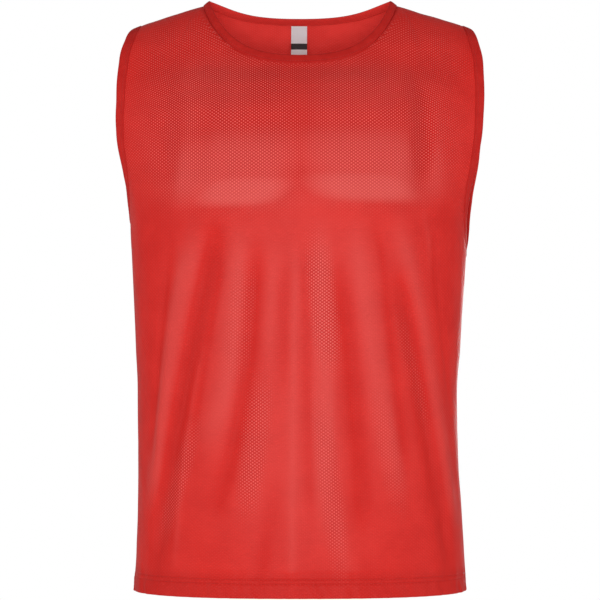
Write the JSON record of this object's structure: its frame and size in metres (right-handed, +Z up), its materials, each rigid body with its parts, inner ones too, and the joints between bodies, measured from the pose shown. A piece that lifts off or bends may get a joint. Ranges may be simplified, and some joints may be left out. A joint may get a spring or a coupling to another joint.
{
  "type": "sleeveless training bib",
  "caption": "Sleeveless round-neck training bib in mesh knit with bound neck and armholes and a turned-up hem, filled out as worn.",
  "frame": {"origin": "midway between the two high points of the shoulders, level with the top of the neck binding, where the wearer's shoulders hold the bib up", "axes": "+Z up along the body, front facing -Y, +X towards the wearer's left"},
  "size_m": [0.4292, 0.2483, 0.6874],
  "materials": {
    "mesh_knit": "red polyester mesh knit with small pinholes",
    "binding_knit": "smooth red knit, a little darker",
    "label_weave": "white woven satin with a plain dark band"
  },
  "bodies": {
    "root": {"front_panel": "mesh_knit", "back_panel": "mesh_knit", "neck_binding": "binding_knit", "armhole_binding_left": "binding_knit", "armhole_binding_right": "binding_knit", "neck_label": "label_weave"}
  },
  "joints": []
}
